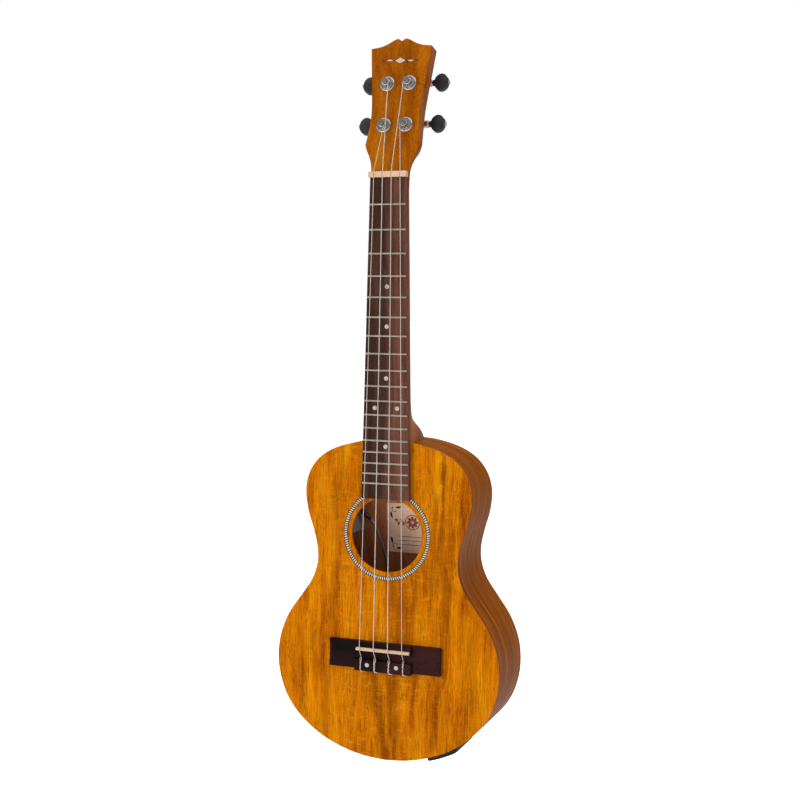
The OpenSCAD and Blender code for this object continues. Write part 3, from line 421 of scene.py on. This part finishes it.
def refine(node, width, pick=None, angle=30, segments=2, split=40):
    """A copy of a CAD node with its facets merged and its outer edges rounded by width, in millimetres, which replaces
    the node. Edges count from angle degrees on; pick(edge, middle) narrows them; split is the hard-edge angle."""
    source = frame["nodes"][node]
    mesh = source.data.copy()
    bm = bmesh.new()
    bm.from_mesh(mesh)
    bmesh.ops.remove_doubles(bm, verts=bm.verts, dist=2e-6)
    bmesh.ops.dissolve_limit(bm, angle_limit=math.radians(0.4), verts=bm.verts, edges=bm.edges)
    edges = []
    for e in bm.edges:
        if len(e.link_faces) != 2 or e.calc_face_angle_signed(0.0) < math.radians(angle):
            continue
        if pick is None or pick(e, (e.verts[0].co + e.verts[1].co) / 2 / MM):
            edges.append(e)
    if edges and width:
        bmesh.ops.bevel(bm, geom=edges, offset=width * MM, offset_type="OFFSET", segments=segments, profile=0.5,
                        affect="EDGES", clamp_overlap=True)
    bm.normal_update()
    bm.to_mesh(mesh)
    bm.free()
    sharpen(mesh, split)
    piece = as_piece(node + "_shaped", mesh, source["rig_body"])
    weigh = piece.modifiers.new("weigh", "WEIGHTED_NORMAL")
    weigh.keep_sharp = True
    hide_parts(node)
    return piece


def tube_piece(name, points, radius, material, replaces=(), sides=3):
    """A smooth round cord through points in millimetres."""
    curve = bpy.data.curves.new(name, "CURVE")
    curve.dimensions = "3D"
    curve.bevel_depth = radius * MM
    curve.bevel_resolution = sides
    curve.use_fill_caps = True
    spline = curve.splines.new("POLY")
    spline.points.add(len(points) - 1)
    for p, at in zip(spline.points, points):
        p.co = (*(c * MM for c in at), 1)
    curve.materials.append(material)
    piece = as_piece(name, curve)
    for node in replaces:
        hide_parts(node)
    return piece


def smooth_path(points, n=6):
    """Catmull-Rom points through the given ones."""
    out = []
    ends = [points[0]] + list(points) + [points[-1]]
    for i in range(1, len(ends) - 2):
        a, b, c, d = (Vector(v) for v in ends[i - 1:i + 3])
        for j in range(n):
            t = j / n
            cubic = (3 * b - a - 3 * c + d) * t ** 3
            out.append(0.5 * (2 * b + (c - a) * t + (2 * a - 5 * b + 4 * c - d) * t * t + cubic))
    return out + [Vector(points[-1])]


# ---------------------------------------------------------------- bodies of wood with rounded edges
refine("soundboard", 0.5, pick=lambda e, mid: mid.y < 0.3, segments=3)
refine("back", 0.9, pick=lambda e, mid: any(f.normal.y > 0.6 for f in e.link_faces), segments=3)
for name in ("side_bass", "side_treble", "neck_block", "tail_block", "linings"):
    refine(name, 0.0)
refine("neck", 0.0, split=50)
refine("headstock_veneer", 0.35, pick=lambda e, mid: any(f.normal.y < -0.9 for f in e.link_faces))
refine("fretboard", 0.4, pick=lambda e, mid: mid.y < -4 and e.calc_length() > 0.1)
refine("bridge", 0.3, pick=lambda e, mid: mid.y < -3, angle=40)
refine("nut", 0.25, pick=lambda e, mid: mid.y < -1)
refine("saddle", 0.2)
for name in ("soundboard_braces", "back_braces", "bridge_plate"):
    refine(name, 0.5)
for name in ("frets", "rosette", "label", "fret_markers", "bridge_dots", "bridge_bolts", "neck_dowels"):
    refine(name, 0.0)

# ---------------------------------------------------------------- metal and plastic
for name in ("tuner_housings", "tuner_washers", "tuner_bushings", "small_screws", "output_socket", "coin_cells"):
    refine(name, 0.12)
for key in "gcea":
    refine("string_post_" + key, 0.15)
    refine("worm_shaft_" + key, 0.1)
    refine("button_screw_" + key, 0.1)
    refine("tuner_button_" + key, 0.0, split=60)
for name in ("preamp_housing", "preamp_panel", "volume_knob", "bass_knob", "treble_knob", "tuner_key", "preamp_display",
             "jack_panel", "battery_door"):
    refine(name, 0.25, angle=40)

# ---------------------------------------------------------------- strings and leads
TILT = math.radians(12.5)  # the headstock leans back by this much
HEAD_Y = -1.24


def head_point(x, d, s):
    """A point of the headstock: x across, d back from its face, s up along it."""
    return Vector((x, HEAD_Y + d * math.cos(TILT) + s * math.sin(TILT), s * math.cos(TILT) - d * math.sin(TILT)))


# all in millimetres, as in the CAD
POST_X, POST_R, COIL_D = 10.6, 2.45, -4.3  # the posts: distance from the middle, radius, and where the coils start
COIL_GAP = 0.2  # between a post and its coils
NUT_Y, NUT_Z = -6.9, (5.8, 5.0, 1)  # the points where a string rests on the nut
NUT_PITCH, NUT_SHIFT, SADDLE_PITCH, SADDLE_SHIFT = 8.5, -0.45, 14, -0.9  # string spacing and offset of the middle
SADDLE_Z, SADDLE_T, SADDLE_H = -434, 2.8, 10.2
TIE_Z1, TIE_Z2, TIE_T, HOLE_Y = -454.8, -444.5, 7.5, -5
# side of the headstock, post's place up the headstock, place in the row of four, radius
STRINGS = {"g": (-1, 50.0, -1.5, 0.35), "c": (-1, 89.6, -0.5, 0.45), "e": (1, 89.6, 0.5, 0.41),
           "a": (1, 50.0, 1.5, 0.33)}


def saddle_x(order):
    return order * SADDLE_PITCH + SADDLE_SHIFT


def string_path(key):
    """From the coils on the post, over the nut and saddle, to the tie block."""
    side, s, order, r = STRINGS[key]
    coil = POST_R + COIL_GAP + r
    steps, turns = 40, 2.25
    path = []
    for i in range(int(steps * turns) + 1):
        a = math.radians(i * 360 / steps - 360 * turns)
        across = side * (POST_X - coil * math.cos(a))
        path.append(head_point(across, COIL_D - i / steps * (2 * r + 0.06), s - coil * math.sin(a)))
    x = order * NUT_PITCH + NUT_SHIFT
    path += [Vector((x, NUT_Y, z)) for z in NUT_Z]
    x = saddle_x(order)
    end = [(x, -SADDLE_H - r - 0.06, SADDLE_Z + 1.2), (x, -SADDLE_H - r - 0.06, SADDLE_Z - 0.2),
           (x, -SADDLE_H + 0.5, SADDLE_Z - SADDLE_T / 2 - r - 0.6), (x, HOLE_Y - 0.6, TIE_Z2 + 2),
           (x, HOLE_Y, TIE_Z2 + 0.4), (x, HOLE_Y, TIE_Z1 - 0.3)]
    return path + [Vector(p) for p in end]


def tied_end(key):
    """What shows at the tie block: out of its hole, up over its front, and twisted round the string before the saddle."""
    _, _, order, r = STRINGS[key]
    x = saddle_x(order)
    front = -TIE_T - r - 0.12
    path = [(x, HOLE_Y, TIE_Z1 - 0.3), (x + 0.25, HOLE_Y - 0.6, TIE_Z1 - r - 0.35),
            (x + 0.3, -TIE_T + 0.3, TIE_Z1 - r - 0.3), (x + 0.2, front, TIE_Z1 + 0.5), (x - 0.15, front, TIE_Z1 + 3.4),
            (x + 0.35, front, TIE_Z2 - 3.2), (x - 0.1, front, TIE_Z2 - 0.5),
            (x - r * 1.6, -TIE_T + 0.4, TIE_Z2 + 0.6), (x - r * 2, -6.4, TIE_Z2 + 1.3),
            (x, HOLE_Y - 2.2 - r, TIE_Z2 + 1.9), (x + r * 2.1, HOLE_Y - 1.4, TIE_Z2 + 1.4),
            (x + r * 2.2, -TIE_T - 0.1, TIE_Z2 + 0.25), (x + r * 1.9, front, TIE_Z2 - 0.9)]
    twist = []
    turns, steps = 2.5, 25
    for i in range(steps + 1):
        f = i / steps
        a = f * turns * 2 * math.pi
        off = r * 1.35 * math.cos(a) + r * 0.3
        twist.append((x + off, front - r * 0.25 * (1 + math.sin(a)), TIE_Z2 - 1.2 - f * 7.4))
    tail = [(x + 1.2, front + 0.1, TIE_Z1 - 0.1), (x + 3.0, -TIE_T + 0.2, TIE_Z1 - r - 0.15)]
    return smooth_path(path, 5) + [Vector(p) for p in twist] + smooth_path(tail, 3)


for key in STRINGS:
    r = STRINGS[key][3]
    tube_piece("string_%s_line" % key, string_path(key), r, NYLON, replaces=["string_" + key])
    tube_piece("string_%s_knot" % key, tied_end(key), r * 0.92, NYLON)

PLUG_ROOT, PLUG_TIP = Vector((-47.2, 47.5, -310.9)), Vector((-34.5, 46.5, -321.5))
LEAD = [PLUG_TIP, (-31.3, 47.2, -326), (-28.4, 49.5, -334), (-25.4, 53.5, -346), (-23, 57.5, -359), (-21.5, 60.5, -373),
        (-18, 62.5, -390), (-10, 63, -408), (1, 62.5, -428), (12, 60.5, -447), (21, 57.5, -463), (28.5, 54.5, -477),
        (34.5, 52.5, -488.5), (39.3, 52, -497.5), (43.4, 52, -507.7)]
tube_piece("preamp_lead", smooth_path(LEAD, 8), 1.4, CABLE, replaces=["preamp_cable"], sides=5)


def turned(name, a, b, profile, material, steps=28):
    """A turned piece along a to b in millimetres; profile is (share of the way, radius) pairs."""
    way = (b - a).normalized()
    side = way.orthogonal().normalized()
    other = way.cross(side)
    bm = bmesh.new()
    rings = []
    for t, r in profile:
        spokes = [(math.cos(2 * math.pi * i / steps), math.sin(2 * math.pi * i / steps)) for i in range(steps)]
        rings.append([bm.verts.new((a + (b - a) * t + r * (c * side + d * other)) * MM) for c, d in spokes])
    for low, high in zip(rings, rings[1:]):
        for i in range(steps):
            bm.faces.new((low[i], low[(i + 1) % steps], high[(i + 1) % steps], high[i]))
    bm.faces.new(rings[0][::-1])
    bm.faces.new(rings[-1])
    bmesh.ops.recalc_face_normals(bm, faces=bm.faces)
    mesh = bpy.data.meshes.new(name)
    bm.to_mesh(mesh)
    bm.free()
    mesh.materials.append(material)
    sharpen(mesh, 32)
    piece = as_piece(name, mesh)
    return piece


# the plug's collar and grip, then three ribs of its strain relief, each a little thinner than the last
plug_profile = [(0, 1.9), (0.02, 2.25), (0.16, 2.25), (0.19, 2.0), (0.24, 2.0), (0.27, 2.6), (0.72, 2.6), (0.76, 2.3)]
for i in range(3):
    at, less = i * 0.07, i * 0.2
    plug_profile += [(0.78 + at, 2.2 - less), (0.80 + at, 1.75), (0.83 + at, 1.75), (0.85 + at, 2.1 - less)]
turned("preamp_plug", PLUG_ROOT, PLUG_TIP, plug_profile + [(1, 1.5)], PLUG)

# ---------------------------------------------------------------- print on the label and inlay in the headstock
label_mesh = frame["nodes"]["label"].data
label_faces = BVHTree.FromPolygons([v.co for v in label_mesh.vertices], [p.vertices for p in label_mesh.polygons])


def on_label(u, v):
    """The point u across and v up on the label's face, just proud of the paper."""
    hit = label_faces.ray_cast(Vector((u, 30, v)) * MM, Vector((0, 1, 0)))[0]
    return hit - Vector((0, 0.03, 0)) * MM


def on_headstock(u, v, proud=0.03):
    """The point u across and v up on the headstock, just proud of its face."""
    return head_point(u, -proud, v) * MM


def strokes(name, lines, place, material):
    """Flat strokes laid on a face. Each line is a list of (across, up, width)."""
    bm = bmesh.new()
    for line in lines:
        rows = []
        for i, (u, v, width) in enumerate(line):
            (u1, v1, _), (u2, v2, _) = line[max(i - 1, 0)], line[min(i + 1, len(line) - 1)]
            along = Vector((u2 - u1, v2 - v1)).normalized()
            half = max(width, 0.02) / 2
            rows.append([bm.verts.new(place(u - along.y * half * k, v + along.x * half * k)) for k in (1, -1)])
        for (a, b), (c, d) in zip(rows, rows[1:]):
            bm.faces.new((a, b, d, c))
    mesh = bpy.data.meshes.new(name)
    bm.normal_update()
    bm.to_mesh(mesh)
    bm.free()
    mesh.materials.append(material)
    piece = as_piece(name, mesh)


def leaf(u, v, turn, length, width, n=12):
    """A pointed leaf from (u, v) in direction turn, in degrees, with a slight bend."""
    out = []
    for i in range(n + 1):
        t = i / n
        a = math.radians(turn + 25 * (t - 0.5))
        out.append((u + length * t * math.cos(a), v + length * t * math.sin(a), width * math.sin(math.pi * t) ** 0.8))
    return out


def curl(u, v, sx, sy, size, n=30):
    """A corner curl: a spiral that opens out into a tapering tail."""
    out = []
    for i in range(n + 1):
        t = i / n
        a = math.radians(-60 + 400 * (1 - t))
        r = size * (0.12 + 0.55 * t)
        across = r * math.cos(a) + size * 0.5 * t
        rise = r * math.sin(a) + size * 0.9 * t * t
        out.append((u + sx * across, v + sy * rise, size * 0.3 * (1 - 0.7 * t)))
    return out


def ring(u, v, radius, width, n=48):
    """A closed circle."""
    turns = [2 * math.pi * i / n for i in range(n + 1)]
    return [(u + radius * math.cos(a), v + radius * math.sin(a), width) for a in turns]


MID_V = -331.5  # the label's middle
FLOWER_V = MID_V + 6
corners = []
for sx in (-1, 1):
    for sy in (-1, 1):
        u, v = -sx * 20.5, MID_V - sy * 19
        corners += [curl(u, v, sx, sy, 3.8), leaf(u + sx * 3, v - sy * 1.2, 0 if sx > 0 else 180, 7, 2.2),
                    leaf(u - sx * 1.2, v + sy * 3, 90 * sy, 7, 2.2)]
ruled = [[(-15, MID_V - 8.5 - 4 * i, 0.45), (15, MID_V - 8.5 - 4 * i, 0.45)] for i in range(3)]
strokes("label_scrolls", corners + ruled, on_label, INK)
petals = [leaf(1.1 * math.cos(math.radians(a)), FLOWER_V + 1.1 * math.sin(math.radians(a)), a, 5.4, 2.6)
          for a in range(0, 360, 45)]
sprigs = [leaf(side * (8 + i * 2.4), FLOWER_V + (i % 2 - 0.5) * 1.2, (90 - side * 50) * (1 if i % 2 else -1), 3.8, 2.2)
          for side in (-1, 1) for i in range(4)]
stems = [[(side * 7, FLOWER_V, 0.8), (side * 17.5, FLOWER_V, 0.3)] for side in (-1, 1)]
strokes("label_emblem", petals + sprigs + stems + [ring(0, FLOWER_V, 7.2, 0.8)], on_label, RED_INK)

INLAY_V = 111.5  # the inlay's place up the headstock
LEAN = 12.5  # degrees: half the bend of a leaf, so that its tip points straight across
lozenge = [(-5.2, INLAY_V, 0.0), (0, INLAY_V, 5.6), (5.2, INLAY_V, 0.0)]
edge = [(-6.4, INLAY_V, 0.0), (0, INLAY_V, 7.0), (6.4, INLAY_V, 0.0)]
dark, light = [edge], []
for side in (-1, 1):
    face = 0 if side > 0 else 180
    dark += [leaf(side * 6.6, INLAY_V, face - LEAN, 7.6, 3.0), leaf(side * 14.6, INLAY_V, face - LEAN, 3.6, 1.6)]
    light.append(leaf(side * 7.3, INLAY_V, face - LEAN, 6.2, 1.7))
strokes("headstock_inlay_edge", dark, on_headstock, INLAY_DARK)


def on_inlay(u, v):
    """A second layer, over the inlay's dark edge."""
    return on_headstock(u, v, 0.06)


strokes("headstock_inlay", [lozenge] + light, on_inlay, INLAY_LIGHT)

# ---------------------------------------------------------------- camera, lights and floor
# the photo's viewpoint, worked out from the fret spacings and the body's outline
AIM = Vector((0.0119, 0.0, -0.2019))
EYE = Vector((0.4524, -1.1621, -0.1207))
ROLL = math.radians(0.597)
view = (AIM - EYE).normalized()
right = view.cross(Vector((0, 0, 1))).normalized()
up = right.cross(view)
right, up = right * math.cos(ROLL) + up * math.sin(ROLL), up * math.cos(ROLL) - right * math.sin(ROLL)
camera = bpy.data.objects.new("camera", bpy.data.cameras.new("camera"))
camera.data.sensor_width = 36
camera.data.lens = 61.29
camera.data.clip_start = 0.01
camera.matrix_world = Matrix.Translation(EYE) @ Matrix((right, up, -view)).transposed().to_4x4()
scene.collection.objects.link(camera)
scene.camera = camera


def area(name, at, target, size, power):
    """A round soft lamp that lights the piece but isn't mirrored in it."""
    lamp = bpy.data.lights.new(name, "AREA")
    lamp.shape = "DISK"
    lamp.size = size
    lamp.energy = power
    holder = bpy.data.objects.new(name, lamp)
    holder.location = at
    holder.visible_glossy = False
    holder.rotation_euler = (Vector(target) - Vector(at)).to_track_quat("-Z", "Y").to_euler()
    scene.collection.objects.link(holder)


area("key", (-1.3, -1.8, 0.25), (0, 0, -0.25), 1.1, 29)
area("front", (0.35, -1.9, -1.2), (0, 0, -0.3), 0.8, 12)
area("top", (0.25, 0.3, 1.2), (0, 0, -0.3), 0.8, 12)
area("low_side", (1.6, 0.4, -0.6), (0, 0, -0.4), 0.5, 2)
# a faint lamp in the soundbox, so that the label shows
glow = bpy.data.lights.new("inside", "POINT")
glow.energy = 0.055
glow.shadow_soft_size = 0.02
glow_at = bpy.data.objects.new("inside", glow)
glow_at.location = (0.015, 0.03, -0.29)
scene.collection.objects.link(glow_at)

world = bpy.data.worlds.new("studio")
world.use_nodes = True
tree = world.node_tree
tree.nodes.clear()


def sky(kind, inputs, **props):
    """A node of the world's tree; an input is a value or another node's socket."""
    n = tree.nodes.new("ShaderNode" + kind)
    for key, value in props.items():
        setattr(n, key, value)
    for key, value in inputs.items():
        if isinstance(value, bpy.types.NodeSocket):
            tree.links.new(value, n.inputs[key])
        else:
            n.inputs[key].default_value = value
    return n


# what the metal mirrors: a bright band at eye level and a bright ceiling, dimmer to the front and back;
# the camera itself sees plain white
way = sky("SeparateXYZ", {0: sky("TexCoord", {}).outputs["Generated"]})
height = sky("Math", {0: way.outputs[2], 1: 0.5, 2: 0.5}, operation="MULTIPLY_ADD")
lift = sky("ValToRGB", {0: height.outputs[0]})
lift.color_ramp.interpolation = "EASE"
for at, value in ((0.40, 0.12), (0.49, 0.16), (0.53, 0.9), (0.58, 0.85), (0.63, 0.2), (0.74, 0.3), (0.85, 0.85)):
    stop = lift.color_ramp.elements.new(at)
    stop.color = (value, value, value, 1)
lift.color_ramp.elements.remove(lift.color_ramp.elements[0])
lift.color_ramp.elements.remove(lift.color_ramp.elements[-1])
depth = sky("Math", {0: way.outputs[1]}, operation="ABSOLUTE")
room = sky("MapRange", {0: depth.outputs[0], 1: 0.55, 2: 0.95, 3: 1.0, 4: 0.4})
level = sky("Math", {0: lift.outputs[0], 1: room.outputs[0]}, operation="MULTIPLY")
soft = sky("Background", {"Color": (1, 1, 1, 1), "Strength": level.outputs[0]})
seen = sky("Background", {"Color": (1, 1, 1, 1), "Strength": 1.0})
rays = sky("LightPath", {})
both = sky("MixShader", {0: rays.outputs["Is Camera Ray"], 1: soft.outputs[0], 2: seen.outputs[0]})
sky("OutputWorld", {0: both.outputs[0]})
scene.world = world
scene.view_settings.view_transform = "Standard"

# ---------------------------------------------------------------- floor
floor_z = cad_box[0][2] - 0.06
floor_mesh = bpy.data.meshes.new("floor")
bm = bmesh.new()
bmesh.ops.create_grid(bm, x_segments=1, y_segments=1, size=60, matrix=Matrix.Translation((0, 0, floor_z)))
bm.to_mesh(floor_mesh)
bm.free()
s = Shader("pale_floor")
cloud = s.noise(s.scaled(s.point, (2, 2, 2)), 1.0, 2.0)
shine = s.math("MULTIPLY", s.node("LightPath").outputs["Is Camera Ray"], 0.8)  # white to the camera, pale to the light
floor_mesh.materials.append(s.finish(Base_Color=s.ramp(cloud, [(0.3, 0.78), (0.7, 0.82)]), Roughness=0.9,
                                     Emission_Color=(1, 1, 1, 1), Emission_Strength=shine))
floor = bpy.data.objects.new("floor", floor_mesh)
scene.collection.objects.link(floor)

bpy.context.view_layer.update()
